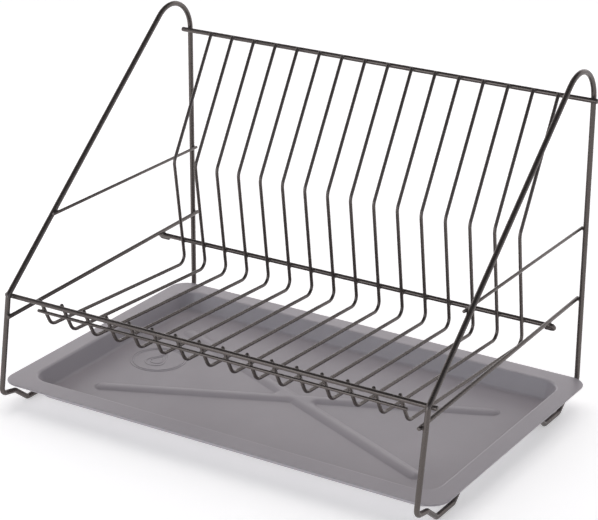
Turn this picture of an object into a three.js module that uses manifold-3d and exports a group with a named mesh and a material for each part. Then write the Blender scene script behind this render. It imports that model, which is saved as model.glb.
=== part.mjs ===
// Dish drying rack: two bent-wire side frames, cross rails, a row of plate wires and a lift-out drip tray.
// Millimetres. +X runs along the rack, +Y towards the back, +Z up. The origin is on the worktop,
// under the middle of the rack.
import * as THREE from "three";
import { mergeVertices } from "three/addons/utils/BufferGeometryUtils.js";
import Module from "manifold-3d";

const wasm = await Module();
wasm.setup();

// ---- Driving dimensions ----

// Welded wires stop this far apart, where the real ones share a weld.
const WELD_GAP = 0.3;
// Each wire has this many flat sides. A flat side faces down where a wire lies level.
const WIRE_SIDES = 8;
const FLAT_SIDE = Math.cos(Math.PI / WIRE_SIDES);
// Bends are cut into steps that leave the true arc by no more than this.
const BEND_SAGITTA = 0.2;

const FRAME_RADIUS = 2.6;
const RAIL_RADIUS = 2.3;
const SIDE_LOWER_RADIUS = 1.9;
const SIDE_UPPER_RADIUS = 1.4;
const PLATE_WIRE_RADIUS = 1.6;
const LIP_RAIL_RADIUS = 1.5;

// Side frames: centre lines of the bent wire, in the YZ plane at each end of the rack.
const FRAME_X = 240;
const REAR_LEG_Y = 171.65;
const DIAGONAL_SLOPE = 0.852;
const DIAGONAL_AT_REAR_LEG_Z = 401.3;
const TOP_LOOP_RADIUS = 35;
const SHOULDER = { y: -154.25, radius: 9 };
const FRONT_LEG_BOTTOM_Y = -171.65;

// Feet: the bottom wire dips twice to the worktop, mirrored about the middle of its raised run.
const BOTTOM_MIDDLE_Y = -1.6;
const ANKLE_Z = 21.5;
const ANKLE_RADIUS = 6.5;
const CREST = { y: 149.2, z: 17.5, radius: 7 };
const FOOT_OUTER_Y = 130.6;
const FOOT_INNER_Y = 98.2;
const FOOT_Z = FRAME_RADIUS * FLAT_SIDE;
const FOOT_RADIUS = 6;
const RUN_START_Y = 75.2;
const RUN_Z = 22;
const RUN_RADIUS = 9;

// Cross rails.
const RAIL_HALF_LENGTH = 247;
const TOP_RAIL_Z = 325.2;
const FRONT_RAIL = { y: -149.2, z: 121.6 };
const LIP_RAIL = { y: -142.05, z: 109, halfLength: 212.5 };
const REAR_LOWER_RAIL = { y: 107.2, z: 106.1, endX: 241.5, returnLength: 12.5 };
// Each end of the rear lower rail is folded back on itself, down and to the rear.
const FOLD_PITCH = 5.2;
const FOLD_ANGLE = THREE.MathUtils.degToRad(-49);

// Side rails, on the inner side of each frame.
const SIDE_LOWER_FRONT = { y: -162.5, z: 103.6 };
const SIDE_LOWER_REAR = { y: 174, z: 112.6 };
const SIDE_UPPER = { frontY: -83.5, rearY: 174, z: 189.3 };

// Plate wires: one profile, repeated along the rack.
const PLATE_WIRE_COUNT = 16;
const PLATE_PITCH = 27.5;
const KNEE = { y: 89.4, z: 201.7, radius: 13 };
const HEEL = { y: 106.8, z: 79.4, radius: 9.5 };
const TOE = { y: -129.3, z: 90.8, radius: 12 };
const TIP = { y: -146.7, z: 126.2 };
const TIP_ABOVE_TOP_RAIL = 2.3;

// Drip tray: a flat rim around a shallow drafted basin, with two raised ribs crossing on its floor.
const TRAY_CENTRE_Y = 6;
const SHEET = 1.5;
const RIM = { halfX: 255.5, halfY: 162.7, radius: 20, topZ: 26.2 };
const BASIN = { behindCentre: 1.7, halfX: 235.2, halfY: 140, radius: 20, draft: 6, floorZ: 5.5 };
const RIB = { reachX: 193, reachY: 85, halfWidth: 8.5, slopeWidth: 6.5, height: 2.8 };
const CORNER_STEPS = 5;
const RIB_END_STEPS = 8;

// ---- Materials ----

const wireFinish = () =>
  new THREE.MeshStandardMaterial({ color: 0x4a4544, metalness: 0.6, roughness: 0.4 });
const trayFinish = () =>
  new THREE.MeshStandardMaterial({ color: 0x8f8a90, metalness: 0.1, roughness: 0.5 });

// ---- Wires ----

// A centre line of straight runs and round bends. It is sampled only where it needs to be:
// at its ends, and along each bend.
class BentLine extends THREE.Curve {
  constructor(corners) {
    super();
    this.stations = stationsAlong(corners);
  }

  stationAt(t) {
    return this.stations[Math.round(t * (this.stations.length - 1))];
  }

  getPointAt(t, target = new THREE.Vector3()) {
    return target.copy(this.stationAt(t).point);
  }

  getTangentAt(t, target = new THREE.Vector3()) {
    return target.copy(this.stationAt(t).tangent);
  }
}

const corner = (x, y, z, radius = 0) => ({ at: new THREE.Vector3(x, y, z), radius });

function stationsAlong(corners) {
  const first = corners[0].at;
  const last = corners.at(-1).at;
  const stations = [{ point: first, tangent: directionTo(first, corners[1].at) }];
  for (let i = 1; i < corners.length - 1; i++) {
    const before = corners[i - 1].at;
    const after = corners[i + 1].at;
    stations.push(...bendStations(before, corners[i], after));
  }
  stations.push({ point: last, tangent: directionTo(corners.at(-2).at, last) });
  return stations;
}

const directionTo = (from, to) => to.clone().sub(from).normalize();

// Points and tangents round one bend, from where the first run ends to where the next begins.
function bendStations(before, { at, radius }, after) {
  const arriving = directionTo(before, at);
  const leaving = directionTo(at, after);
  const turn = arriving.angleTo(leaving);
  const inward = leaving
    .clone()
    .addScaledVector(arriving, -Math.cos(turn))
    .normalize();
  const start = at.clone().addScaledVector(arriving, -radius * Math.tan(turn / 2));
  const centre = start.clone().addScaledVector(inward, radius);
  const stepAngle = 2 * Math.acos(1 - BEND_SAGITTA / radius);
  const steps = Math.ceil(turn / stepAngle);
  return Array.from({ length: steps + 1 }, (_, i) => {
    const angle = (turn * i) / steps;
    return {
      point: centre
        .clone()
        .addScaledVector(inward, -radius * Math.cos(angle))
        .addScaledVector(arriving, radius * Math.sin(angle)),
      tangent: arriving
        .clone()
        .multiplyScalar(Math.cos(angle))
        .addScaledVector(inward, Math.sin(angle)),
    };
  });
}

function wireSection(radius) {
  const section = new THREE.Shape();
  for (let i = 0; i < WIRE_SIDES; i++) {
    const angle = ((i + 0.5) * 2 * Math.PI) / WIRE_SIDES;
    const x = radius * Math.cos(angle);
    const y = radius * Math.sin(angle);
    if (i === 0) section.moveTo(x, y);
    else section.lineTo(x, y);
  }
  section.closePath();
  return section;
}

function bentWire(name, corners, radius) {
  const path = new BentLine(corners);
  const steps = path.stations.length - 1;
  const options = { steps, extrudePath: path, bevelEnabled: false };
  const geometry = new THREE.ExtrudeGeometry(wireSection(radius), options);
  return namedMesh(name, geometry, wireFinish());
}

// A straight wire with rounded ends, from tip to tip.
function straightWire(name, from, to, radius) {
  const length = from.distanceTo(to);
  const capSteps = 2;
  const geometry = new THREE.CapsuleGeometry(radius, length - 2 * radius, capSteps, WIRE_SIDES);
  const facetTurn = Math.PI / WIRE_SIDES;
  geometry.rotateY(facetTurn);
  const mesh = namedMesh(name, geometry, wireFinish());
  mesh.position.copy(from).lerp(to, 0.5);
  mesh.quaternion.setFromUnitVectors(new THREE.Vector3(0, 1, 0), directionTo(from, to));
  return mesh;
}

function namedMesh(name, geometry, material) {
  const mesh = new THREE.Mesh(geometry, material);
  mesh.name = name;
  return mesh;
}

// ---- Side frames ----

const diagonalZ = (y) => DIAGONAL_AT_REAR_LEG_Z + DIAGONAL_SLOPE * (y - REAR_LEG_Y);

// One wire bent into the whole side: raised run, rear foot, rear leg, loop, diagonal, shoulder,
// front leg, front foot, and back to the raised run, where its two ends are butted.
function sideFrame(name, x) {
  const at = (y, z, radius) => corner(x, y, z, radius);
  const halfJoint = WELD_GAP / 2;
  const foot = (side) => [
    at(BOTTOM_MIDDLE_Y + side * RUN_START_Y, RUN_Z, RUN_RADIUS),
    at(BOTTOM_MIDDLE_Y + side * FOOT_INNER_Y, FOOT_Z, FOOT_RADIUS),
    at(BOTTOM_MIDDLE_Y + side * FOOT_OUTER_Y, FOOT_Z, FOOT_RADIUS),
    at(BOTTOM_MIDDLE_Y + side * CREST.y, CREST.z, CREST.radius),
  ];
  const corners = [
    at(BOTTOM_MIDDLE_Y + halfJoint, RUN_Z),
    ...foot(1),
    at(REAR_LEG_Y, ANKLE_Z, ANKLE_RADIUS),
    at(REAR_LEG_Y, diagonalZ(REAR_LEG_Y), TOP_LOOP_RADIUS),
    at(SHOULDER.y, diagonalZ(SHOULDER.y), SHOULDER.radius),
    at(FRONT_LEG_BOTTOM_Y, ANKLE_Z, ANKLE_RADIUS),
    ...foot(-1).reverse(),
    at(BOTTOM_MIDDLE_Y - halfJoint, RUN_Z),
  ];
  return bentWire(name, corners, FRAME_RADIUS);
}

// ---- Cross rails ----

const TOP_RAIL_Y = REAR_LEG_Y - FRAME_RADIUS - WELD_GAP - RAIL_RADIUS;

function crossRail(name, y, z, halfLength, radius) {
  const left = new THREE.Vector3(-halfLength, y, z);
  const right = new THREE.Vector3(halfLength, y, z);
  return straightWire(name, left, right, radius);
}

function rearLowerRail() {
  const { y, z, endX, returnLength } = REAR_LOWER_RAIL;
  const foldY = y + FOLD_PITCH * Math.cos(FOLD_ANGLE);
  const foldZ = z + FOLD_PITCH * Math.sin(FOLD_ANGLE);
  const turnX = endX - RAIL_RADIUS;
  const cutX = endX - returnLength;
  const foldRadius = FOLD_PITCH / 2 - 0.01;
  const corners = [
    corner(-cutX, foldY, foldZ),
    corner(-turnX, foldY, foldZ, foldRadius),
    corner(-turnX, y, z, foldRadius),
    corner(turnX, y, z, foldRadius),
    corner(turnX, foldY, foldZ, foldRadius),
    corner(cutX, foldY, foldZ),
  ];
  return bentWire("rear_lower_rail", corners, RAIL_RADIUS);
}

// ---- Side rails ----

function sideLowerRail(name, side) {
  const x = side * (FRAME_X - FRAME_RADIUS - WELD_GAP - SIDE_LOWER_RADIUS);
  const front = new THREE.Vector3(x, SIDE_LOWER_FRONT.y, SIDE_LOWER_FRONT.z);
  const rear = new THREE.Vector3(x, SIDE_LOWER_REAR.y, SIDE_LOWER_REAR.z);
  return straightWire(name, front, rear, SIDE_LOWER_RADIUS);
}

function sideUpperRail(name, side) {
  const x = side * (FRAME_X - FRAME_RADIUS - WELD_GAP - SIDE_UPPER_RADIUS);
  const front = new THREE.Vector3(x, SIDE_UPPER.frontY, SIDE_UPPER.z);
  const rear = new THREE.Vector3(x, SIDE_UPPER.rearY, SIDE_UPPER.z);
  return straightWire(name, front, rear, SIDE_UPPER_RADIUS);
}

// ---- Plate wires ----

// From the top rail down the backrest to the knee, the heel and forward to the toe, then up behind
// the lip rail and the front rail.
function plateWire(index) {
  const x = (index - (PLATE_WIRE_COUNT - 1) / 2) * PLATE_PITCH;
  const topY = TOP_RAIL_Y - RAIL_RADIUS - WELD_GAP - PLATE_WIRE_RADIUS;
  const corners = [
    corner(x, topY, TOP_RAIL_Z + TIP_ABOVE_TOP_RAIL),
    corner(x, KNEE.y, KNEE.z, KNEE.radius),
    corner(x, HEEL.y, HEEL.z, HEEL.radius),
    corner(x, TOE.y, TOE.z, TOE.radius),
    corner(x, TIP.y, TIP.z),
  ];
  const number = String(index + 1).padStart(2, "0");
  return bentWire(`plate_wire_${number}`, corners, PLATE_WIRE_RADIUS);
}

// ---- Drip tray ----

function roundedRectangle(halfX, halfY, radius) {
  const quarter = Math.PI / 2;
  const outline = new THREE.Shape();
  outline.absarc(halfX - radius, halfY - radius, radius, 0, quarter);
  outline.absarc(radius - halfX, halfY - radius, radius, quarter, 2 * quarter);
  outline.absarc(radius - halfX, radius - halfY, radius, 2 * quarter, 3 * quarter);
  outline.absarc(halfX - radius, radius - halfY, radius, 3 * quarter, 4 * quarter);
  return outline;
}

function rim() {
  const outline = roundedRectangle(RIM.halfX, RIM.halfY, RIM.radius);
  const options = { depth: SHEET, bevelEnabled: false, curveSegments: CORNER_STEPS };
  return new THREE.ExtrudeGeometry(outline, options).translate(0, 0, RIM.topZ - SHEET);
}

// A block the shape of the basin: its walls lean outwards from bottomZ up to wallTopZ, and it goes
// straight up from there. The basin sits a little behind the middle of the rim.
function basinBlock(growth, bottomZ, wallTopZ, extraHeight) {
  const halfX = BASIN.halfX + growth - BASIN.draft;
  const halfY = BASIN.halfY + growth - BASIN.draft;
  const outline = roundedRectangle(halfX, halfY, BASIN.radius + growth - BASIN.draft);
  const options = {
    depth: extraHeight,
    bevelThickness: wallTopZ - bottomZ,
    bevelSize: BASIN.draft,
    bevelSegments: 1,
    curveSegments: CORNER_STEPS,
  };
  const block = new THREE.ExtrudeGeometry(outline, options);
  return block.translate(0, BASIN.behindCentre, wallTopZ);
}

// A low ridge with round ends and rounded sides, its crest at topZ.
function ribBlock(angle, topZ, bodyDepth) {
  const quarter = Math.PI / 2;
  const endRadius = RIB.halfWidth - RIB.slopeWidth;
  const reach = Math.hypot(RIB.reachX, RIB.reachY) - RIB.halfWidth;
  const outline = new THREE.Shape();
  outline.absarc(reach, 0, endRadius, -quarter, quarter);
  outline.absarc(-reach, 0, endRadius, quarter, 3 * quarter);
  const options = {
    depth: bodyDepth,
    bevelThickness: RIB.height,
    bevelSize: RIB.slopeWidth,
    bevelSegments: 3,
    curveSegments: RIB_END_STEPS,
  };
  const bodyBottom = topZ - RIB.height - bodyDepth;
  return new THREE.ExtrudeGeometry(outline, options).rotateZ(angle).translate(0, 0, bodyBottom);
}

function solidFrom(geometry) {
  const bare = geometry.index ? geometry.toNonIndexed() : geometry;
  bare.deleteAttribute("normal");
  bare.deleteAttribute("uv");
  const merged = mergeVertices(bare, 1e-4);
  const vertProperties = merged.attributes.position.array;
  const triVerts = new Uint32Array(merged.index.array);
  return new wasm.Manifold(new wasm.Mesh({ numProp: 3, vertProperties, triVerts }));
}

function geometryFrom(solid) {
  const { vertProperties, triVerts } = solid.getMesh();
  const geometry = new THREE.BufferGeometry();
  geometry.setAttribute("position", new THREE.BufferAttribute(vertProperties, 3));
  geometry.setIndex(new THREE.BufferAttribute(triVerts, 1));
  geometry.computeVertexNormals();
  return geometry;
}

// The tray is one sheet of even thickness: the basin is hollow above, the ribs are hollow below.
function dripTray() {
  const underside = BASIN.floorZ - SHEET;
  const clearance = 10;
  const rimUnderside = RIM.topZ - SHEET;
  const above = new THREE.BoxGeometry(3 * RIM.halfX, 3 * RIM.halfY, 2 * clearance);
  above.translate(0, 0, RIM.topZ + clearance);
  const ribAngle = Math.atan2(RIB.reachY, RIB.reachX);
  const ribTop = BASIN.floorZ + RIB.height;

  const outerBasin = basinBlock(SHEET, underside, rimUnderside, SHEET);
  const innerBasin = basinBlock(0, BASIN.floorZ, RIM.topZ, clearance);
  let tray = solidFrom(rim())
    .add(solidFrom(outerBasin))
    .subtract(solidFrom(above))
    .subtract(solidFrom(innerBasin));
  for (const angle of [ribAngle, -ribAngle])
    tray = tray.add(solidFrom(ribBlock(angle, ribTop, SHEET)));
  for (const angle of [ribAngle, -ribAngle])
    tray = tray.subtract(solidFrom(ribBlock(angle, ribTop - SHEET, clearance)));

  const mesh = namedMesh("drip_tray", geometryFrom(tray), trayFinish());
  mesh.position.y = TRAY_CENTRE_Y;
  return mesh;
}

// ---- Assembly ----

const rack = new THREE.Group();
rack.name = "dish_drying_rack";
rack.add(
  sideFrame("side_frame_left", -FRAME_X),
  sideFrame("side_frame_right", FRAME_X),
  crossRail("top_rail", TOP_RAIL_Y, TOP_RAIL_Z, RAIL_HALF_LENGTH, RAIL_RADIUS),
  crossRail("front_rail", FRONT_RAIL.y, FRONT_RAIL.z, RAIL_HALF_LENGTH, RAIL_RADIUS),
  crossRail("front_lower_rail", LIP_RAIL.y, LIP_RAIL.z, LIP_RAIL.halfLength, LIP_RAIL_RADIUS),
  rearLowerRail(),
  sideLowerRail("side_lower_rail_left", -1),
  sideLowerRail("side_lower_rail_right", 1),
  sideUpperRail("side_upper_rail_left", -1),
  sideUpperRail("side_upper_rail_right", 1),
);
for (let index = 0; index < PLATE_WIRE_COUNT; index++) rack.add(plateWire(index));
rack.add(dripTray());

export default rack;
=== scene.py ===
"""The looks of the dish drying rack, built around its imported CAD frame.

The frame is in metres, with +X along the rack, +Y to the back and +Z up. The dimensions below are in
millimetres, as in the CAD, and each finished mesh is scaled to metres.
"""

import math

import bmesh
import bpy
from mathutils import Matrix, Vector
from mathutils.geometry import intersect_line_line


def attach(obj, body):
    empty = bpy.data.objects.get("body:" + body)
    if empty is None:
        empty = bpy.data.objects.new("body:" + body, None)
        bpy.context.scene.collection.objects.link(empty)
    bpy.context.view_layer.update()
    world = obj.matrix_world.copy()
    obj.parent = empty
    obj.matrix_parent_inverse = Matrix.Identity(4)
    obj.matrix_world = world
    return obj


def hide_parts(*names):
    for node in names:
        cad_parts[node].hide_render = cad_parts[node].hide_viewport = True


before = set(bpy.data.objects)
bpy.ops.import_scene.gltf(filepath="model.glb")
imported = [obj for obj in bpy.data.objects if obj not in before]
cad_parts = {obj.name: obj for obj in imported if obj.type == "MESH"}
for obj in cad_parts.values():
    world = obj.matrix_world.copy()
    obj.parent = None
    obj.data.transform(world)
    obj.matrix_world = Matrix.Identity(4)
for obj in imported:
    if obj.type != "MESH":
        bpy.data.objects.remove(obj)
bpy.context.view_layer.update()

MM = 0.001

# ---- Dimensions, from the CAD ----

# The wires' radii include the lacquer, which the CAD leaves out. The CAD's wires stand 0.3 mm apart
# where they are welded. Here the rails under the plate wires are up to 0.4 mm nearer to them.
LACQUER = 0.2
FRAME_RADIUS = 2.55 + LACQUER
RAIL_RADIUS = 2.3 + LACQUER
SIDE_LOWER_RADIUS = 1.9 + LACQUER
SIDE_UPPER_RADIUS = 1.4 + LACQUER
PLATE_WIRE_RADIUS = 1.6 + LACQUER
LIP_RAIL_RADIUS = 1.5 + LACQUER

FRAME_X = 240
REAR_LEG_Y = 171.65
DIAGONAL_SLOPE = 0.852
DIAGONAL_AT_REAR_LEG_Z = 401.3
TOP_LOOP_RADIUS = 35
SHOULDER_Y = -154.25
SHOULDER_RADIUS = 9
FRONT_LEG_BOTTOM_Y = -171.65

BOTTOM_MIDDLE_Y = -1.6
ANKLE_Z = 21.5
ANKLE_RADIUS = 6.5
CREST_Y, CREST_Z, CREST_RADIUS = 149.2, 17.5, 7
FOOT_OUTER_Y, FOOT_INNER_Y, FOOT_RADIUS = 130.6, 98.2, 6
RUN_START_Y, RUN_Z, RUN_RADIUS = 75.2, 22, 9

RAIL_HALF_LENGTH = 247
TOP_RAIL_Y, TOP_RAIL_Z = 166.45, 325.2
FRONT_RAIL_Y, FRONT_RAIL_Z = -149.2, 121.6
LIP_RAIL_Y, LIP_RAIL_Z, LIP_RAIL_HALF_LENGTH = -141.9, 109.1, 212.5
REAR_LOWER_RAIL_Y, REAR_LOWER_RAIL_Z = 106.8, 106.1
REAR_LOWER_RAIL_END_X = 241.5
FOLD_LENGTH = 12.5
FOLD_PITCH = 5.2
FOLD_ANGLE = math.radians(-49)
# A fold's radius is this much less than half its pitch, so that its two bends don't meet.
FOLD_FLAT = 0.01

SIDE_RAIL_GAP = 0.3
SIDE_LOWER_FRONT_Y, SIDE_LOWER_FRONT_Z = -162.5, 103.6
SIDE_REAR_Y = 174
SIDE_LOWER_REAR_Z = 112.6
SIDE_UPPER_FRONT_Y, SIDE_UPPER_Z = -83.5, 189.3

# The plate wires press a little into the rails that they are welded to. Their top ends lie 1.2 mm
# further back than in the CAD, and their tips are cut 1.8 mm shorter.
PLATE_WIRE_COUNT = 16
PLATE_PITCH = 27.5
TOP_END_Y, TOP_END_Z = 163.4, 327.9
KNEE_Y, KNEE_Z, KNEE_RADIUS = 89.4, 201.7, 13
HEEL_Y, HEEL_Z, HEEL_RADIUS = 106.8, 79.4, 9.5
TOE_Y, TOE_Z, TOE_RADIUS = -129.3, 90.8, 12
TIP_Y, TIP_Z = -146.2, 124.5

TRAY_Y = 6
SHEET = 1.5
RIM_HALF_X, RIM_HALF_Y, RIM_CORNER, RIM_TOP_Z = 255.5, 162.7, 20, 26.2
BASIN_Y = 7.7
BASIN_HALF_X, BASIN_HALF_Y, BASIN_CORNER = 235.2, 140, 20
BASIN_DRAFT, BASIN_FLOOR_Z = 6, 5.5
RIB_REACH_X, RIB_REACH_Y, RIB_HALF_WIDTH, RIB_HEIGHT = 193, 85, 8.5, 2.8

# ---- Detail that only the looks have ----

WIRE_SIDES = 20
BEND_STEP = math.radians(6)
# How far a cut end is rounded over, as a share of the wire's radius.
END_ROUNDING = 0.45
END_STEPS = 4
# How far a weld spreads from the crease, and how far its barrel starts from each wire's centre line,
# as a share of that wire's radius.
WELD_BLEND = 2.0
WELD_DEPTH = 0.3
WELD_SIDES = 28
WELD_LEVELS = 11
WELD_SEARCH_STEPS = 16
BUTT_SWELL = 0.3
BUTT_LENGTH = 2.4
# How much each place is rubbed, from 0 to 1. On the rim's rounded edge the edge value is also a
# painted highlight line.
EDGE_WEAR_AND_HIGHLIGHT = 1.0
BEND_WEAR = 0.35
WELD_WEAR = 0.15
RIB_WEAR = 0.25
EMBLEM_WEAR = 0.3
# The bend between the basin and the rim gets a painted highlight line, this many times as light as
# the rubbing on a bend in a wire.
RIM_BEND_HIGHLIGHT = 2.4


# ---- Mesh helpers ----


def new_mesh():
    """An empty mesh with a value on each vertex for wear and for painted highlight lines, which the
    materials read.
    """
    mesh = bmesh.new()
    mesh.verts.layers.float.new("wear_and_highlight")
    return mesh


def add_vertex(mesh, point, wear_and_highlight=0.0):
    vertex = mesh.verts.new(point)
    vertex[mesh.verts.layers.float["wear_and_highlight"]] = wear_and_highlight
    return vertex


def bridge(mesh, ring_a, ring_b):
    """Quads between two rings of vertices with the same count."""
    count = len(ring_a)
    for i in range(count):
        j = (i + 1) % count
        mesh.faces.new((ring_a[i], ring_a[j], ring_b[j], ring_b[i]))


def make_piece(name, mesh, material, body):
    """Turns a mesh in millimetres into a smooth piece that rides on a body."""
    bmesh.ops.recalc_face_normals(mesh, faces=mesh.faces)
    bmesh.ops.scale(mesh, vec=(MM, MM, MM), verts=mesh.verts)
    data = bpy.data.meshes.new(name)
    mesh.to_mesh(data)
    mesh.free()
    data.shade_smooth()
    data.materials.append(material)
    piece = bpy.data.objects.new(name, data)
    bpy.context.scene.collection.objects.link(piece)
    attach(piece, body)
    return piece


# ---- Wires ----


def corner(x, y, z, radius=0):
    """A corner of a wire's centre line, and the radius of its bend."""
    return Vector((x, y, z)), radius


def bend_stations(before, at, radius, after):
    """Points, tangents and wear round one bend; at the basin's top edge this wear is a painted
    highlight line. A corner with no radius gives one station.
    """
    arriving = (at - before).normalized()
    leaving = (after - at).normalized()
    if radius == 0:
        return [(at.copy(), arriving, 0.0, 0.0)]
    turn = arriving.angle(leaving)
    inward = (leaving - arriving * math.cos(turn)).normalized()
    start = at - arriving * radius * math.tan(turn / 2)
    centre = start + inward * radius
    steps = max(2, math.ceil(turn / BEND_STEP))
    stations = []
    for i in range(steps + 1):
        angle = turn * i / steps
        point = centre - inward * radius * math.cos(angle) + arriving * radius * math.sin(angle)
        tangent = arriving * math.cos(angle) + inward * math.sin(angle)
        wear_and_highlight = BEND_WEAR * math.sin(math.pi * i / steps)
        stations.append((point, tangent, 0.0, wear_and_highlight))
    return stations


def stations_along(corners):
    """Stations of an open wire. Each is a point, a tangent, a swelling and a wear value."""
    points = [at for at, _ in corners]
    stations = [(points[0], (points[1] - points[0]).normalized(), 0.0, 0.0)]
    for i in range(1, len(corners) - 1):
        stations += bend_stations(points[i - 1], points[i], corners[i][1], points[i + 1])
    stations.append((points[-1], (points[-1] - points[-2]).normalized(), 0.0, 0.0))
    return stations


def stations_round(corners):
    """Stations of a wire that closes on itself."""
    points = [at for at, _ in corners]
    count = len(corners)
    stations = []
    for i in range(count):
        after = points[(i + 1) % count]
        stations += bend_stations(points[i - 1], points[i], corners[i][1], after)
    return stations


def section_ring(mesh, station, radius, plane_normal, flatten=1.0):
    """The wire's round section at a station. Flatten squeezes it along the plane's normal."""
    point, tangent, swelling, wear_and_highlight = station
    side = plane_normal.cross(tangent).normalized()
    ring = []
    for i in range(WIRE_SIDES):
        angle = 2 * math.pi * i / WIRE_SIDES
        reach = radius + swelling
        offset = side * math.cos(angle) + plane_normal * math.sin(angle) * flatten
        ring.append(add_vertex(mesh, point + offset * reach, wear_and_highlight))
    return ring


def rounded_end(mesh, ring, station, radius, outward, plane_normal):
    """Closes a wire's cut end, with its edge rounded over by the lacquer."""
    point, tangent, _, _ = station
    rounding = END_ROUNDING * radius
    for i in range(1, END_STEPS + 1):
        angle = math.pi / 2 * i / END_STEPS
        advanced = point + outward * rounding * math.sin(angle)
        narrowed = radius - rounding * (1 - math.cos(angle))
        next_ring = section_ring(mesh, (advanced, tangent, 0.0, EDGE_WEAR_AND_HIGHLIGHT), narrowed, plane_normal)
        bridge(mesh, ring, next_ring)
        ring = next_ring
    middle = add_vertex(mesh, point + outward * rounding, EDGE_WEAR_AND_HIGHLIGHT)
    for i in range(WIRE_SIDES):
        mesh.faces.new((ring[i], ring[(i + 1) % WIRE_SIDES], middle))


def sweep_open(mesh, corners, radius, plane_normal):
    """A wire along the corners, shortened so that its rounded ends reach exactly to them."""
    stations = stations_along(corners)
    rounding = END_ROUNDING * radius
    first, last = stations[0], stations[-1]
    stations[0] = (first[0] + first[1] * rounding, *first[1:])
    stations[-1] = (last[0] - last[1] * rounding, *last[1:])
    rings = [section_ring(mesh, station, radius, plane_normal) for station in stations]
    for ring_a, ring_b in zip(rings, rings[1:]):
        bridge(mesh, ring_a, ring_b)
    rounded_end(mesh, rings[0], stations[0], radius, -stations[0][1], plane_normal)
    rounded_end(mesh, rings[-1], stations[-1], radius, stations[-1][1], plane_normal)


def sweep_closed(mesh, stations, radius, plane_normal, flatten=1.0):
    rings = [section_ring(mesh, station, radius, plane_normal, flatten) for station in stations]
    for i, ring in enumerate(rings):
        bridge(mesh, ring, rings[(i + 1) % len(rings)])


X_AXIS = Vector((1, 0, 0))
Y_AXIS = Vector((0, 1, 0))
Z_AXIS = Vector((0, 0, 1))


# ---- Side frames ----


def diagonal_z(y):
    return DIAGONAL_AT_REAR_LEG_Z + DIAGONAL_SLOPE * (y - REAR_LEG_Y)


def foot_corners(x, side):
    """From the raised run out to the crest beside the leg. Side is 1 at the rear and -1 in front."""

    def at(y, z, radius):
        return corner(x, BOTTOM_MIDDLE_Y + side * y, z, radius)

    return [
        at(RUN_START_Y, RUN_Z, RUN_RADIUS),
        at(FOOT_INNER_Y, FRAME_RADIUS, FOOT_RADIUS),
        at(FOOT_OUTER_Y, FRAME_RADIUS, FOOT_RADIUS),
        at(CREST_Y, CREST_Z, CREST_RADIUS),
    ]


def butt_weld_stations(x):
    """The swelling where the two ends of the frame's wire are welded together."""
    stations = []
    for share in (-1.0, -0.5, 0.0, 0.5, 1.0):
        point = Vector((x, BOTTOM_MIDDLE_Y + share * BUTT_LENGTH, RUN_Z))
        swelling = BUTT_SWELL * (1 - share * share)
        stations.append((point, Y_AXIS, swelling, 0.0))
    return stations


def make_side_frame(name, x, material):
    corners = [
        *foot_corners(x, 1),
        corner(x, REAR_LEG_Y, ANKLE_Z, ANKLE_RADIUS),
        corner(x, REAR_LEG_Y, diagonal_z(REAR_LEG_Y), TOP_LOOP_RADIUS),
        corner(x, SHOULDER_Y, diagonal_z(SHOULDER_Y), SHOULDER_RADIUS),
        corner(x, FRONT_LEG_BOTTOM_Y, ANKLE_Z, ANKLE_RADIUS),
        *reversed(foot_corners(x, -1)),
    ]
    mesh = new_mesh()
    stations = stations_round(corners) + butt_weld_stations(x)
    sweep_closed(mesh, stations, FRAME_RADIUS, X_AXIS)
    piece = make_piece(name + "_wire", mesh, material, "rack")
    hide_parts(name)


# ---- Rails ----


def make_wire(name, corners, radius, plane_normal, material):
    """One open wire that stands for the CAD node of the same name."""
    mesh = new_mesh()
    sweep_open(mesh, corners, radius, plane_normal)
    piece = make_piece(name + "_wire", mesh, material, "rack")
    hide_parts(name)


def make_cross_rail(name, y, z, half_length, radius, material):
    corners = [corner(-half_length, y, z), corner(half_length, y, z)]
    make_wire(name, corners, radius, Z_AXIS, material)


def make_rear_lower_rail(material):
    """The rail whose ends are folded back on themselves, down and to the rear."""
    y, z = REAR_LOWER_RAIL_Y, REAR_LOWER_RAIL_Z
    fold_y = y + FOLD_PITCH * math.cos(FOLD_ANGLE)
    fold_z = z + FOLD_PITCH * math.sin(FOLD_ANGLE)
    turn_x = REAR_LOWER_RAIL_END_X - RAIL_RADIUS
    cut_x = REAR_LOWER_RAIL_END_X - FOLD_LENGTH
    fold_radius = FOLD_PITCH / 2 - FOLD_FLAT
    corners = [
        corner(-cut_x, fold_y, fold_z),
        corner(-turn_x, fold_y, fold_z, fold_radius),
        corner(-turn_x, y, z, fold_radius),
        corner(turn_x, y, z, fold_radius),
        corner(turn_x, fold_y, fold_z, fold_radius),
        corner(cut_x, fold_y, fold_z),
    ]
    plane_normal = Vector((0, -math.sin(FOLD_ANGLE), math.cos(FOLD_ANGLE)))
    make_wire("rear_lower_rail", corners, RAIL_RADIUS, plane_normal, material)


def side_lower_x(side):
    return side * (FRAME_X - FRAME_RADIUS - SIDE_RAIL_GAP - SIDE_LOWER_RADIUS)


def side_upper_x(side):
    return side * (FRAME_X - FRAME_RADIUS - SIDE_RAIL_GAP - SIDE_UPPER_RADIUS)


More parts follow.
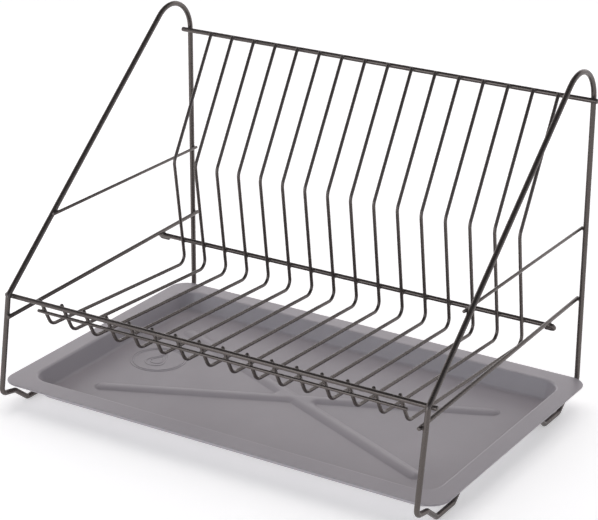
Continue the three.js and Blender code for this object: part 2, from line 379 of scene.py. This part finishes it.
def make_side_rails(side_name, side, material):
    lower_x = side_lower_x(side)
    lower = [
        corner(lower_x, SIDE_LOWER_FRONT_Y, SIDE_LOWER_FRONT_Z),
        corner(lower_x, SIDE_REAR_Y, SIDE_LOWER_REAR_Z),
    ]
    make_wire("side_lower_rail_" + side_name, lower, SIDE_LOWER_RADIUS, X_AXIS, material)
    upper_x = side_upper_x(side)
    upper = [
        corner(upper_x, SIDE_UPPER_FRONT_Y, SIDE_UPPER_Z),
        corner(upper_x, SIDE_REAR_Y, SIDE_UPPER_Z),
    ]
    make_wire("side_upper_rail_" + side_name, upper, SIDE_UPPER_RADIUS, X_AXIS, material)


# ---- Plate wires ----


def plate_wire_x(index):
    return (index - (PLATE_WIRE_COUNT - 1) / 2) * PLATE_PITCH


def plate_wire_corners(x):
    return [
        corner(x, TOP_END_Y, TOP_END_Z),
        corner(x, KNEE_Y, KNEE_Z, KNEE_RADIUS),
        corner(x, HEEL_Y, HEEL_Z, HEEL_RADIUS),
        corner(x, TOE_Y, TOE_Z, TOE_RADIUS),
        corner(x, TIP_Y, TIP_Z),
    ]


def make_plate_wires(material):
    for index in range(PLATE_WIRE_COUNT):
        corners = plate_wire_corners(plate_wire_x(index))
        make_wire(f"plate_wire_{index + 1:02d}", corners, PLATE_WIRE_RADIUS, X_AXIS, material)


# ---- Welds ----


def distance_to_wire(point, wire):
    """Distance to a run of wire with round ends. A run is its start, direction, length and radius."""
    start, along, length, radius = wire
    reach = min(max((point - start).dot(along), radius), length - radius)
    return (point - start - along * reach).length - radius


def fused_distance(point, wire_a, wire_b):
    """Distance to the surface of two wires whose crease is filled by a smooth weld."""
    to_a = distance_to_wire(point, wire_a)
    to_b = distance_to_wire(point, wire_b)
    closeness = max(WELD_BLEND - abs(to_a - to_b), 0) / WELD_BLEND
    return min(to_a, to_b) - closeness * closeness * WELD_BLEND / 4


def fused_reach(start, direction, longest, wire_a, wire_b):
    """How far out of the middle the fused surface lies, or the longest reach if it is further."""
    near, far = 0.0, longest
    if fused_distance(start + direction * far, wire_a, wire_b) < 0:
        return far
    for _ in range(WELD_SEARCH_STEPS):
        middle = (near + far) / 2
        if fused_distance(start + direction * middle, wire_a, wire_b) < 0:
            near = middle
        else:
            far = middle
    return near


def weld_rings(wire_a, wire_b):
    """Rings of points round the line that joins two crossing wires, on the fused surface."""
    start_a, along_a, _, radius_a = wire_a
    start_b, along_b, _, radius_b = wire_b
    foot_a, foot_b = intersect_line_line(start_a, start_a + along_a, start_b, start_b + along_b)
    across = (foot_b - foot_a).normalized()
    side = across.cross(along_a)
    start = foot_a + across * radius_a * WELD_DEPTH
    end = foot_b - across * radius_b * WELD_DEPTH
    longest = 2 * max(radius_a, radius_b)
    rings = []
    for level in range(WELD_LEVELS):
        middle = start.lerp(end, level / (WELD_LEVELS - 1))
        ring = []
        for i in range(WELD_SIDES):
            angle = 2 * math.pi * i / WELD_SIDES
            direction = along_a * math.cos(angle) + side * math.sin(angle)
            reach = fused_reach(middle, direction, longest, wire_a, wire_b)
            ring.append(middle + direction * reach)
        rings.append(ring)
    return rings


def add_weld(mesh, rings, shift=Vector((0, 0, 0))):
    """A closed barrel through the rings. Its ends are hidden inside the two wires."""
    placed = [[add_vertex(mesh, point + shift, WELD_WEAR) for point in ring] for ring in rings]
    for ring_a, ring_b in zip(placed, placed[1:]):
        bridge(mesh, ring_a, ring_b)
    mesh.faces.new(placed[0])
    mesh.faces.new(placed[-1])


def run_between(start, end, radius):
    """A straight run of wire, as distance_to_wire reads it."""
    return start, (end - start).normalized(), (end - start).length, radius


def rail_along_x(y, z, half_length, radius):
    return run_between(Vector((-half_length, y, z)), Vector((half_length, y, z)), radius)


def run_through_bend(before, at, radius, after):
    """A short straight run that touches the middle of a bend."""
    stations = bend_stations(before, at, radius, after)
    point, tangent, _, _ = stations[len(stations) // 2]
    reach = tangent * 3 * FRAME_RADIUS
    return run_between(point - reach, point + reach, FRAME_RADIUS)


def main_rails():
    """The runs of the top, rear lower, front and lip rails."""
    return (
        rail_along_x(TOP_RAIL_Y, TOP_RAIL_Z, RAIL_HALF_LENGTH, RAIL_RADIUS),
        rail_along_x(REAR_LOWER_RAIL_Y, REAR_LOWER_RAIL_Z, REAR_LOWER_RAIL_END_X, RAIL_RADIUS),
        rail_along_x(FRONT_RAIL_Y, FRONT_RAIL_Z, RAIL_HALF_LENGTH, RAIL_RADIUS),
        rail_along_x(LIP_RAIL_Y, LIP_RAIL_Z, LIP_RAIL_HALF_LENGTH, LIP_RAIL_RADIUS),
    )


def make_plate_wire_welds(material):
    """Every plate wire is welded to the top rail, the rear lower rail and both front rails."""
    points = [at for at, _ in plate_wire_corners(0)]
    backrest = run_between(points[0], points[1], PLATE_WIRE_RADIUS)
    heel_run = run_between(points[1], points[2], PLATE_WIRE_RADIUS)
    front_run = run_between(points[3], points[4], PLATE_WIRE_RADIUS)
    top_rail, rear_rail, front_rail, lip_rail = main_rails()
    crossings = {
        "welds_top": weld_rings(backrest, top_rail),
        "welds_rear": weld_rings(heel_run, rear_rail),
        "welds_front": weld_rings(front_run, front_rail),
        "welds_lip": weld_rings(front_run, lip_rail),
    }
    for name, rings in crossings.items():
        mesh = new_mesh()
        for index in range(PLATE_WIRE_COUNT):
            add_weld(mesh, rings, X_AXIS * plate_wire_x(index))
        piece = make_piece(name, mesh, material, "rack")


def make_frame_welds(side_name, side, material):
    """The rails are welded to the inner side of each frame."""
    x = side * FRAME_X
    shoulder = Vector((x, SHOULDER_Y, diagonal_z(SHOULDER_Y)))
    loop_corner = Vector((x, REAR_LEG_Y, diagonal_z(REAR_LEG_Y)))
    front_ankle = Vector((x, FRONT_LEG_BOTTOM_Y, ANKLE_Z))
    rear_ankle = Vector((x, REAR_LEG_Y, ANKLE_Z))
    bend = run_through_bend(loop_corner, shoulder, SHOULDER_RADIUS, front_ankle)

    front_leg = run_between(front_ankle, shoulder, FRAME_RADIUS)
    rear_leg = run_between(rear_ankle, loop_corner, FRAME_RADIUS)
    diagonal = run_between(shoulder, loop_corner, FRAME_RADIUS)
    top_rail, rear_rail, front_rail, _ = main_rails()
    lower_rail = run_between(
        Vector((side_lower_x(side), SIDE_LOWER_FRONT_Y, SIDE_LOWER_FRONT_Z)),
        Vector((side_lower_x(side), SIDE_REAR_Y, SIDE_LOWER_REAR_Z)),
        SIDE_LOWER_RADIUS,
    )
    upper_rail = run_between(
        Vector((side_upper_x(side), SIDE_UPPER_FRONT_Y, SIDE_UPPER_Z)),
        Vector((side_upper_x(side), SIDE_REAR_Y, SIDE_UPPER_Z)),
        SIDE_UPPER_RADIUS,
    )

    mesh = new_mesh()
    add_weld(mesh, weld_rings(rear_leg, top_rail))
    add_weld(mesh, weld_rings(bend, front_rail))
    add_weld(mesh, weld_rings(front_leg, lower_rail))
    add_weld(mesh, weld_rings(rear_leg, lower_rail))
    add_weld(mesh, weld_rings(diagonal, upper_rail))
    add_weld(mesh, weld_rings(rear_leg, upper_rail))
    add_weld(mesh, weld_rings(rear_rail, lower_rail))
    piece = make_piece("welds_side_" + side_name, mesh, material, "rack")


# ---- Drip tray ----

CORNER_STEPS = 14
RIM_EDGE_STEPS = 8
FLOOR_FILLET = 4.0
BASIN_EDGE_FILLET = 1.4
FLAT_MARGIN = 0.8
PROFILE_STUB = 12
RIB_NOTCH_RADIUS = 2.5
RIB_BASE_FILLET = 0.7
RIB_END_STEPS = 16
RIB_NOTCH_STEPS = 6
# The ribs rise in a small step, and then in a crown that is close to a parabola.
RIB_STEP = 0.05
RIB_CROWN = 2.2
RIB_LEVELS = (1.0, 0.92, 0.82, 0.70, 0.56, 0.40, 0.24, 0.10)


def rounded_rectangle(half_x, half_y, radius, middle_y, z):
    """Points round a rectangle with round corners, counter-clockwise."""
    points = []
    for i, (side_x, side_y) in enumerate(((1, 1), (-1, 1), (-1, -1), (1, -1))):
        centre_x = side_x * (half_x - radius)
        centre_y = middle_y + side_y * (half_y - radius)
        for step in range(CORNER_STEPS + 1):
            angle = math.pi / 2 * (i + step / CORNER_STEPS)
            x = centre_x + radius * math.cos(angle)
            y = centre_y + radius * math.sin(angle)
            points.append(Vector((x, y, z)))
    return points


def basin_outline(growth, z):
    return rounded_rectangle(
        BASIN_HALF_X + growth, BASIN_HALF_Y + growth, BASIN_CORNER + growth, BASIN_Y, z
    )


def rim_outline(inset, z):
    return rounded_rectangle(
        RIM_HALF_X - inset, RIM_HALF_Y - inset, RIM_CORNER - inset, TRAY_Y, z
    )


def basin_profile(thickness):
    """The wall's section, as growth and height, from the floor to the rim. The underside lies
    one sheet thickness outside the inner face."""
    wall_height = RIM_TOP_Z - BASIN_FLOOR_Z
    lean = BASIN_DRAFT / wall_height
    shift = thickness * (math.hypot(1, lean) - lean)
    floor_z = BASIN_FLOOR_Z - thickness
    rim_z = RIM_TOP_Z - thickness
    foot = shift - BASIN_DRAFT
    corners = [
        corner(foot - PROFILE_STUB, 0, floor_z),
        corner(foot, 0, floor_z, FLOOR_FILLET + thickness),
        corner(shift, 0, rim_z, BASIN_EDGE_FILLET + SHEET - thickness),
        corner(shift + PROFILE_STUB, 0, rim_z),
    ]
    bends = stations_along(corners)[1:-1]
    # Only the upper bend, at the basin's top edge, gets the painted highlight line; the floor's
    # fillet gets none.
    highlighted_above = BASIN_FLOOR_Z + wall_height / 2
    profile = [
        (point.x, point.z, RIM_BEND_HIGHLIGHT * wear_and_highlight if point.z > highlighted_above else 0.0)
        for point, _, _, wear_and_highlight in bends
    ]
    inner, outer = profile[0], profile[-1]
    return [
        (inner[0] - FLAT_MARGIN, floor_z, 0.0),
        *profile,
        (outer[0] + FLAT_MARGIN, rim_z, 0.0),
    ]


def cross_outline(half_width, z):
    """Points round the two crossing ribs at one level of their section, counter-clockwise."""
    arm_angle = math.atan2(RIB_REACH_Y, RIB_REACH_X)
    reach = math.hypot(RIB_REACH_X, RIB_REACH_Y) - RIB_HALF_WIDTH
    notch_offset = RIB_HALF_WIDTH + RIB_NOTCH_RADIUS
    arms = [-arm_angle, arm_angle, math.pi - arm_angle, math.pi + arm_angle]
    points = []
    for i, arm in enumerate(arms):
        tip = Vector((math.cos(arm), math.sin(arm), 0)) * reach
        for step in range(RIB_END_STEPS + 1):
            angle = arm - math.pi / 2 + math.pi * step / RIB_END_STEPS
            points.append(tip + Vector((math.cos(angle), math.sin(angle), 0)) * half_width)
        next_arm = arms[(i + 1) % 4] + (2 * math.pi if i == 3 else 0)
        half_gap = (next_arm - arm) / 2
        middle = arm + half_gap
        notch = Vector((math.cos(middle), math.sin(middle), 0)) * notch_offset / math.sin(half_gap)
        for step in range(RIB_NOTCH_STEPS + 1):
            angle = arm - math.pi / 2 - (math.pi - 2 * half_gap) * step / RIB_NOTCH_STEPS
            radius = notch_offset - half_width
            points.append(notch + Vector((math.cos(angle), math.sin(angle), 0)) * radius)
    return [Vector((point.x, point.y + TRAY_Y, z)) for point in points]


def rib_levels(floor_z):
    """The ribs' section from the floor to the crest: half width, height and wear."""
    levels = [
        (RIB_HALF_WIDTH + RIB_BASE_FILLET + FLAT_MARGIN, floor_z, 0.0),
        (RIB_HALF_WIDTH + RIB_BASE_FILLET, floor_z, 0.0),
    ]
    for share in RIB_LEVELS:
        rise = RIB_STEP + (1 - RIB_STEP) * (1 - share**RIB_CROWN)
        z = floor_z + RIB_HEIGHT * rise
        levels.append((RIB_HALF_WIDTH * share, z, RIB_WEAR * (1 - share)))
    return levels


def ring_of(mesh, points, wear_and_highlight=0.0):
    return [add_vertex(mesh, point, wear_and_highlight) for point in points]


def edges_round(mesh, ring):
    count = len(ring)
    return [mesh.edges.get((ring[i], ring[(i + 1) % count])) for i in range(count)]


def add_floor(mesh, boundary, floor_z):
    """The flat floor between the foot of the walls and the ribs, and the ribs on it."""
    levels = rib_levels(floor_z)
    rings = [ring_of(mesh, cross_outline(width, z), wear_and_highlight) for width, z, wear_and_highlight in levels]
    for ring_a, ring_b in zip(rings, rings[1:]):
        bridge(mesh, ring_a, ring_b)
    crest = edges_round(mesh, rings[-1])
    floor = edges_round(mesh, boundary) + edges_round(mesh, rings[0])
    for edges in (crest, floor):
        bmesh.ops.triangle_fill(mesh, edges=edges, use_beauty=True, normal=Z_AXIS)


def wall_rings(mesh, thickness):
    return [
        ring_of(mesh, basin_outline(growth, z), wear_and_highlight)
        for growth, z, wear_and_highlight in basin_profile(thickness)
    ]


def rim_edge_rings(mesh):
    """The rounded edge of the rim, from its top to its underside."""
    edge_radius = SHEET / 2
    rings = []
    for step in range(RIM_EDGE_STEPS + 1):
        angle = math.pi / 2 - math.pi * step / RIM_EDGE_STEPS
        inset = edge_radius * (1 - math.cos(angle))
        z = RIM_TOP_Z - edge_radius + edge_radius * math.sin(angle)
        # The rim's edge is painted lighter where it faces outward, as wear and as a painted highlight
        # line.
        rings.append(ring_of(mesh, rim_outline(inset, z), EDGE_WEAR_AND_HIGHLIGHT * math.cos(angle)))
    return rings


def make_tray(material):
    mesh = new_mesh()
    inner_rings = wall_rings(mesh, 0)
    outer_rings = wall_rings(mesh, SHEET)
    edge_rings = rim_edge_rings(mesh)
    rim_inset = SHEET / 2 + FLAT_MARGIN
    rim_top = ring_of(mesh, rim_outline(rim_inset, RIM_TOP_Z))
    rim_underside = ring_of(mesh, rim_outline(rim_inset, RIM_TOP_Z - SHEET))
    rings = [*inner_rings, rim_top, *edge_rings, rim_underside, *reversed(outer_rings)]
    for ring_a, ring_b in zip(rings, rings[1:]):
        bridge(mesh, ring_a, ring_b)
    add_floor(mesh, inner_rings[0], BASIN_FLOOR_Z)
    add_floor(mesh, outer_rings[0], BASIN_FLOOR_Z - SHEET)
    piece = make_piece("drip_tray_shell", mesh, material, "tray")
    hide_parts("drip_tray")


# ---- Emblem on the tray floor: a double ring around a water drop ----

EMBLEM_X, EMBLEM_Y = -175.6, 11
EMBLEM_OUTER_RADIUS, EMBLEM_INNER_RADIUS = 30, 27
EMBLEM_LINE_RADIUS = 0.8
EMBLEM_FLATTEN = 0.7
EMBLEM_STEPS = 96
TANGENT_STEP = 0.01
DROP_HALF_WIDTH, DROP_HALF_HEIGHT = 15, 16
DROP_TAPER = 1.5
INNER_DROP_SCALE = 0.62


def ring_curve(radius):
    return lambda t: Vector((radius * math.cos(t), radius * math.sin(t), 0))


def drop_curve(scale):
    """A water drop with its point to the back of the tray."""

    def point(t):
        x = DROP_HALF_WIDTH * math.sin(t) * math.sin(t / 2) ** DROP_TAPER
        y = DROP_HALF_HEIGHT * math.cos(t)
        return Vector((-x, y, 0)) * scale

    return point


def relief_line(mesh, curve):
    """A low raised line along a closed curve, half sunk into the floor."""
    centre = Vector((EMBLEM_X, EMBLEM_Y, BASIN_FLOOR_Z))
    stations = []
    for i in range(EMBLEM_STEPS):
        t = 2 * math.pi * (i + 0.5) / EMBLEM_STEPS
        tangent = (curve(t + TANGENT_STEP) - curve(t - TANGENT_STEP)).normalized()
        stations.append((centre + curve(t), tangent, 0.0, EMBLEM_WEAR))
    sweep_closed(mesh, stations, EMBLEM_LINE_RADIUS, Z_AXIS, EMBLEM_FLATTEN)


def make_emblem(material):
    mesh = new_mesh()
    relief_line(mesh, ring_curve(EMBLEM_OUTER_RADIUS))
    relief_line(mesh, ring_curve(EMBLEM_INNER_RADIUS))
    relief_line(mesh, drop_curve(1.0))
    relief_line(mesh, drop_curve(INNER_DROP_SCALE))
    piece = make_piece("tray_emblem", mesh, material, "tray")


# ---- Materials ----

# Noise scales are features per metre, and bump distances are metres.
WIRE_DARK = (0.097, 0.083, 0.076)
WIRE_LIGHT = (0.115, 0.099, 0.091)
# Lighter specks of metallic flake, painted as glints.
WIRE_FLAKE_GLINT = (0.165, 0.147, 0.14)
WIRE_RUBBED = (0.17, 0.155, 0.15)
TRAY_DARK = (0.348, 0.324, 0.346)
TRAY_LIGHT = (0.382, 0.355, 0.376)
TRAY_SPECKLE = (0.25, 0.24, 0.26)
# Lighter tone for rubbed edges and for the painted highlight lines on the rim and the basin's top
# edge.
TRAY_RUBBED_AND_HIGHLIGHT = (0.50, 0.48, 0.50)
FLOOR_DARK = (0.90, 0.90, 0.90)
FLOOR_LIGHT = (0.92, 0.92, 0.92)
FLOOR_GLOW = 0.40


def add_node(tree, kind, **inputs):
    node = tree.nodes.new(kind)
    for name, value in inputs.items():
        node.inputs[name.replace("_", " ")].default_value = value
    return node


def noise(tree, coordinates, scale, detail=3.0, roughness=0.55):
    node = add_node(tree, "ShaderNodeTexNoise", Scale=scale, Detail=detail, Roughness=roughness)
    tree.links.new(coordinates, node.inputs["Vector"])
    return node.outputs["Fac"]


def ramp(tree, factor, stops):
    """A colour ramp. Each stop is a position and a colour."""
    node = tree.nodes.new("ShaderNodeValToRGB")
    elements = node.color_ramp.elements
    while len(elements) < len(stops):
        elements.new(0.5)
    for element, (position, colour) in zip(elements, stops):
        element.position = position
        element.color = (*colour, 1)
    tree.links.new(factor, node.inputs["Fac"])
    return node.outputs["Color"]


def remap(tree, factor, low, high):
    """Maps 0 to 1 onto low to high."""
    node = add_node(tree, "ShaderNodeMapRange", To_Min=low, To_Max=high)
    tree.links.new(factor, node.inputs["Value"])
    return node.outputs["Result"]


def feed(tree, socket, value):
    """Gives a socket another node's output, a number, or a colour."""
    if isinstance(value, bpy.types.NodeSocket):
        tree.links.new(value, socket)
    elif isinstance(value, (int, float)):
        socket.default_value = value
    else:
        socket.default_value = (*value, 1)


def mix_colour(tree, factor, colour_a, colour_b):
    node = tree.nodes.new("ShaderNodeMix")
    node.data_type = "RGBA"
    # A mix node has a set of sockets for each type of data. These are the ones for colours.
    factor_socket, socket_a, socket_b = node.inputs[0], node.inputs[6], node.inputs[7]
    feed(tree, factor_socket, factor)
    feed(tree, socket_a, colour_a)
    feed(tree, socket_b, colour_b)
    return node.outputs[2]


def multiply(tree, a, b):
    node = tree.nodes.new("ShaderNodeMath")
    node.operation = "MULTIPLY"
    feed(tree, node.inputs[0], a)
    feed(tree, node.inputs[1], b)
    return node.outputs[0]


def bump(tree, height, strength, distance, below=None):
    node = add_node(tree, "ShaderNodeBump", Strength=strength, Distance=distance)
    tree.links.new(height, node.inputs["Height"])
    if below is not None:
        tree.links.new(below, node.inputs["Normal"])
    return node.outputs["Normal"]


def start_material(name):
    """A new material, its node tree, its shader, object coordinates and the value for wear and
    painted highlight lines.
    """
    material = bpy.data.materials.new(name)
    material.use_nodes = True
    tree = material.node_tree
    shader = tree.nodes["Principled BSDF"]
    coordinates = tree.nodes.new("ShaderNodeTexCoord").outputs["Object"]
    wear_and_highlight = tree.nodes.new("ShaderNodeAttribute")
    wear_and_highlight.attribute_name = "wear_and_highlight"
    return material, tree, shader, coordinates, wear_and_highlight.outputs["Fac"]


def wire_lacquer():
    """Dark anthracite lacquer, baked on: satin, with metallic flakes painted lighter as glints, a
    fine orange peel and rubbed ends.
    """
    material, tree, shader, coordinates, wear_and_highlight = start_material("wire_lacquer")
    drift = noise(tree, coordinates, 22, detail=2)
    # Specks of metallic flake, painted lighter as glints.
    flake_glints = noise(tree, coordinates, 2600, detail=1)
    base = ramp(tree, drift, [(0.3, WIRE_DARK), (0.7, WIRE_LIGHT)])
    flake_glinted = mix_colour(tree, remap(tree, flake_glints, 0.0, 0.35), base, WIRE_FLAKE_GLINT)
    rub_and_highlight = multiply(tree, wear_and_highlight, noise(tree, coordinates, 420, detail=4))
    colour = mix_colour(tree, multiply(tree, rub_and_highlight, 0.55), flake_glinted, WIRE_RUBBED)
    tree.links.new(colour, shader.inputs["Base Color"])
    gloss = noise(tree, coordinates, 160, detail=3)
    tree.links.new(remap(tree, gloss, 0.20, 0.33), shader.inputs["Roughness"])
    peel = bump(tree, noise(tree, coordinates, 620, detail=2), 0.06, 0.0002)
    grain = bump(tree, noise(tree, coordinates, 3200, detail=2), 0.05, 0.00005, peel)
    tree.links.new(grain, shader.inputs["Normal"])
    shader.inputs["Metallic"].default_value = 0.75
    shader.inputs["Specular IOR Level"].default_value = 0.5
    return material


def tray_finish():
    """Fine satin grey: a close grain, faint clouding, edges rubbed a little lighter, and painted
    highlight lines along the rim's edge and the basin's top edge.
    """
    material, tree, shader, coordinates, wear_and_highlight = start_material("tray_satin_grey")
    clouds = noise(tree, coordinates, 9, detail=3)
    speckle = noise(tree, coordinates, 1500, detail=2)
    base = ramp(tree, clouds, [(0.3, TRAY_DARK), (0.7, TRAY_LIGHT)])
    speckled = mix_colour(tree, remap(tree, speckle, 0.0, 0.22), base, TRAY_SPECKLE)
    # Rubbed places and painted highlight lines, both lighter.
    rub_and_highlight = multiply(tree, wear_and_highlight, noise(tree, coordinates, 300, detail=4))
    colour = mix_colour(tree, multiply(tree, rub_and_highlight, 0.6), speckled, TRAY_RUBBED_AND_HIGHLIGHT)
    tree.links.new(colour, shader.inputs["Base Color"])
    gloss = noise(tree, coordinates, 90, detail=4)
    tree.links.new(remap(tree, gloss, 0.34, 0.46), shader.inputs["Roughness"])
    waves = bump(tree, noise(tree, coordinates, 26, detail=1), 0.15, 0.0006)
    grain = bump(tree, noise(tree, coordinates, 1900, detail=3), 0.22, 0.00008, waves)
    tree.links.new(grain, shader.inputs["Normal"])
    shader.inputs["Specular IOR Level"].default_value = 0.6
    return material


def floor_finish():
    """A plain pale floor that glows softly, like a lit table, so that shadows stay light."""
    material, tree, shader, coordinates, _ = start_material("studio_floor")
    tone = noise(tree, coordinates, 1.5, detail=2)
    base = ramp(tree, tone, [(0.3, FLOOR_DARK), (0.7, FLOOR_LIGHT)])
    tree.links.new(base, shader.inputs["Base Color"])
    shader.inputs["Roughness"].default_value = 0.8
    shader.inputs["Specular IOR Level"].default_value = 0.1
    shader.inputs["Emission Color"].default_value = (1.0, 1.0, 1.0, 1)
    shader.inputs["Emission Strength"].default_value = FLOOR_GLOW
    return material


# ---- Studio, in metres ----

BACKDROP_DIRECTION = (-0.53, 0.85, 0.0)
# The front fades into the backdrop between these, as the cosine of the angle to its direction.
BACKDROP_FADE_START, BACKDROP_FADE_END = -0.3, 0.5
# What the object sees on each side, from the horizon (0) to straight above (1).
BACKDROP_STOPS = [
    (0.0, (1.35, 1.32, 1.34)),
    (0.45, (1.2, 1.18, 1.2)),
    (0.65, (0.05, 0.05, 0.055)),
    (1.0, (0.02, 0.02, 0.02)),
]
FRONT_STOPS = [
    (0.0, (0.58, 0.61, 0.68)),
    (0.45, (0.54, 0.57, 0.63)),
    (0.65, (0.04, 0.04, 0.045)),
    (1.0, (0.02, 0.02, 0.02)),
]
FLOOR_HALF_SIZE = 20
FLOOR_Z = -0.0001
SOFTBOX_TARGET = Vector((0, 0, 0.1))
CAMERA_LOCATION = Vector((1.01316, -1.62275, 0.91939))
CAMERA_AZIMUTH = math.radians(31.779)
CAMERA_ELEVATION = math.radians(21.606)
CAMERA_ROLL = math.radians(0.324)
CAMERA_LENS = 123.89


def make_floor():
    mesh = bmesh.new()
    half = FLOOR_HALF_SIZE
    corners = [(-half, -half), (half, -half), (half, half), (-half, half)]
    mesh.faces.new([mesh.verts.new((x, y, FLOOR_Z)) for x, y in corners])
    data = bpy.data.meshes.new("studio_floor")
    mesh.to_mesh(data)
    mesh.free()
    data.materials.append(floor_finish())
    floor = bpy.data.objects.new("studio_floor", data)
    bpy.context.scene.collection.objects.link(floor)


def make_softbox(name, location, width, height, power):
    """A rectangular light that points at the middle of the rack."""
    data = bpy.data.lights.new(name, "AREA")
    data.shape = "RECTANGLE"
    data.size = width
    data.size_y = height
    data.energy = power
    softbox = bpy.data.objects.new(name, data)
    softbox.location = location
    direction = SOFTBOX_TARGET - Vector(location)
    softbox.rotation_mode = "QUATERNION"
    softbox.rotation_quaternion = direction.to_track_quat("-Z", "Y")
    bpy.context.scene.collection.objects.link(softbox)
    return softbox


def make_world():
    """White to the camera. The object sees a bright backdrop, a dimmer front and a dark ceiling."""
    world = bpy.data.worlds.new("studio")
    world.use_nodes = True
    tree = world.node_tree
    direction = tree.nodes.new("ShaderNodeTexCoord").outputs["Generated"]
    parts = tree.nodes.new("ShaderNodeSeparateXYZ")
    tree.links.new(direction, parts.inputs["Vector"])
    towards_back = tree.nodes.new("ShaderNodeVectorMath")
    towards_back.operation = "DOT_PRODUCT"
    tree.links.new(direction, towards_back.inputs[0])
    towards_back.inputs[1].default_value = BACKDROP_DIRECTION
    backness = add_node(
        tree, "ShaderNodeMapRange", From_Min=BACKDROP_FADE_START, From_Max=BACKDROP_FADE_END
    )
    tree.links.new(towards_back.outputs["Value"], backness.inputs["Value"])
    front = ramp(tree, parts.outputs["Z"], FRONT_STOPS)
    back = ramp(tree, parts.outputs["Z"], BACKDROP_STOPS)
    around = mix_colour(tree, backness.outputs["Result"], front, back)
    sees = tree.nodes.new("ShaderNodeLightPath").outputs["Is Camera Ray"]
    seen = mix_colour(tree, sees, around, (1.0, 1.0, 1.0))
    tree.links.new(seen, tree.nodes["Background"].inputs["Color"])
    bpy.context.scene.world = world


def make_lights():
    overhead = make_softbox(
        "softbox_overhead", location=(-0.3, 0.7, 2.0), width=2.4, height=2.4, power=30
    )
    overhead.data.color = (1.0, 0.965, 0.965)
    overhead.visible_glossy = False
    front = make_softbox(
        "softbox_front", location=(-0.7, -2.2, 0.6), width=1.6, height=1.0, power=11
    )
    front.data.color = (0.97, 0.98, 1.0)


def make_camera():
    data = bpy.data.cameras.new("camera")
    data.lens = CAMERA_LENS
    data.sensor_width = 36
    data.clip_end = 100
    camera = bpy.data.objects.new("camera", data)
    azimuth, elevation = CAMERA_AZIMUTH, CAMERA_ELEVATION
    level = math.cos(elevation)
    back = Vector((math.sin(azimuth) * level, -math.cos(azimuth) * level, math.sin(elevation)))
    right = Vector((math.cos(azimuth), math.sin(azimuth), 0))
    up = back.cross(right)
    rolled_right = right * math.cos(CAMERA_ROLL) + up * math.sin(CAMERA_ROLL)
    rolled_up = up * math.cos(CAMERA_ROLL) - right * math.sin(CAMERA_ROLL)
    rotation = Matrix((rolled_right, rolled_up, back)).transposed()
    camera.matrix_world = Matrix.Translation(CAMERA_LOCATION) @ rotation.to_4x4()
    bpy.context.scene.collection.objects.link(camera)
    bpy.context.scene.camera = camera
    bpy.context.scene.view_settings.view_transform = "Standard"


# ---- Everything ----

lacquer = wire_lacquer()
make_side_frame("side_frame_left", -FRAME_X, lacquer)
make_side_frame("side_frame_right", FRAME_X, lacquer)
make_cross_rail("top_rail", TOP_RAIL_Y, TOP_RAIL_Z, RAIL_HALF_LENGTH, RAIL_RADIUS, lacquer)
make_cross_rail("front_rail", FRONT_RAIL_Y, FRONT_RAIL_Z, RAIL_HALF_LENGTH, RAIL_RADIUS, lacquer)
make_cross_rail(
    "front_lower_rail", LIP_RAIL_Y, LIP_RAIL_Z, LIP_RAIL_HALF_LENGTH, LIP_RAIL_RADIUS, lacquer
)
make_rear_lower_rail(lacquer)
make_plate_wires(lacquer)
make_plate_wire_welds(lacquer)
for side_name, side in (("left", -1), ("right", 1)):
    make_side_rails(side_name, side, lacquer)
    make_frame_welds(side_name, side, lacquer)

satin_grey = tray_finish()
make_tray(satin_grey)
make_emblem(satin_grey)

make_floor()
make_world()
make_lights()
make_camera()
